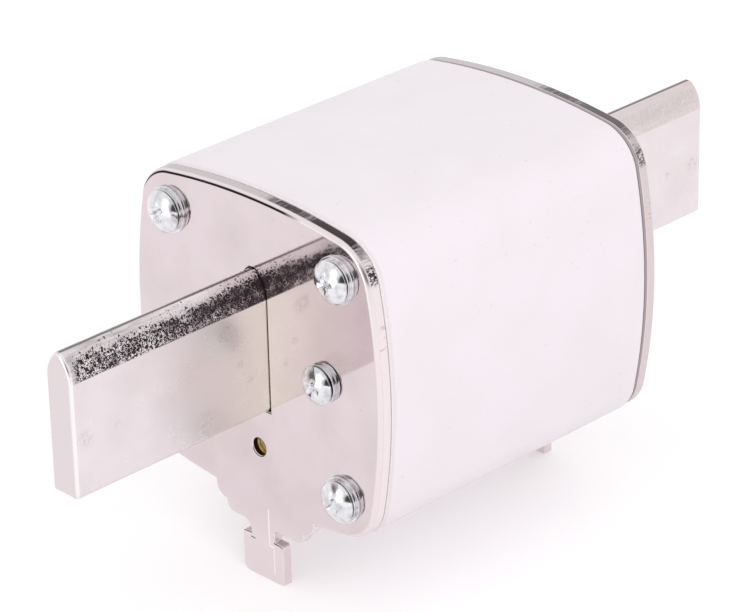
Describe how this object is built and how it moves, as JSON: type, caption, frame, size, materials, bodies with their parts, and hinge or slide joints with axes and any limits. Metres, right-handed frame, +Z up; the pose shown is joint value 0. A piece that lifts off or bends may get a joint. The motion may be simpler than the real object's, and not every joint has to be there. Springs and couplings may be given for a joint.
{
  "type": "knife blade fuse",
  "caption": "Low-voltage power fuse-link: bulged square ceramic body, screwed metal end plates with grip lugs, flat knife blade contacts and a pop-out indicator pin.",
  "frame": {"origin": "under the middle of the fuse, level with the feet of the two grip lugs", "axes": "+X along the blades towards the end without the indicator, +Y across the blades' thickness, +Z up towards the tapered edge of the blades, away from the grip lugs"},
  "size_m": [0.15, 0.059, 0.0715],
  "materials": {
    "porcelain": "satin",
    "nickel_plate": "mirror",
    "tinned_copper": "bright",
    "zinc_steel": "bright",
    "gasket_fibre": "matte",
    "bare_copper": "satin",
    "strip_copper": "satin",
    "soft_solder": "satin",
    "quartz_sand": "matte",
    "brass": "satin",
    "spring_steel": "satin",
    "resistance_wire": "satin"
  },
  "bodies": {
    "fuse_body": {"ceramic_body": "porcelain", "fuse_element_1": "strip_copper", "fuse_element_2": "strip_copper", "fuse_element_3": "strip_copper", "fuse_element_4": "strip_copper", "indicator_sleeve": "brass", "indicator_spring": "spring_steel", "indicator_wire": "resistance_wire", "left_clamp_screws": "zinc_steel", "left_clamp_spring_washers": "zinc_steel", "left_contact_block": "bare_copper", "left_corner_flat_washers": "zinc_steel", "left_corner_screws": "zinc_steel", "left_corner_spring_washers": "zinc_steel", "left_end_plate": "nickel_plate", "left_gasket": "gasket_fibre", "left_knife_blade": "tinned_copper", "quartz_sand": "quartz_sand", "right_clamp_screws": "zinc_steel", "right_clamp_spring_washers": "zinc_steel", "right_contact_block": "bare_copper", "right_corner_flat_washers": "zinc_steel", "right_corner_screws": "zinc_steel", "right_corner_spring_washers": "zinc_steel", "right_end_plate": "nickel_plate", "right_gasket": "gasket_fibre", "right_knife_blade": "tinned_copper", "solder_bridges": "soft_solder", "wire_anchor": "brass"},
    "indicator": {"indicator_pin": "brass"}
  },
  "joints": [
    {"name": "indicator_pop", "type": "slide", "parent": "fuse_body", "child": "indicator", "axis": [-1, 0, 0], "range_m": [0, 0.005], "deforming": ["indicator_spring"]}
  ]
}
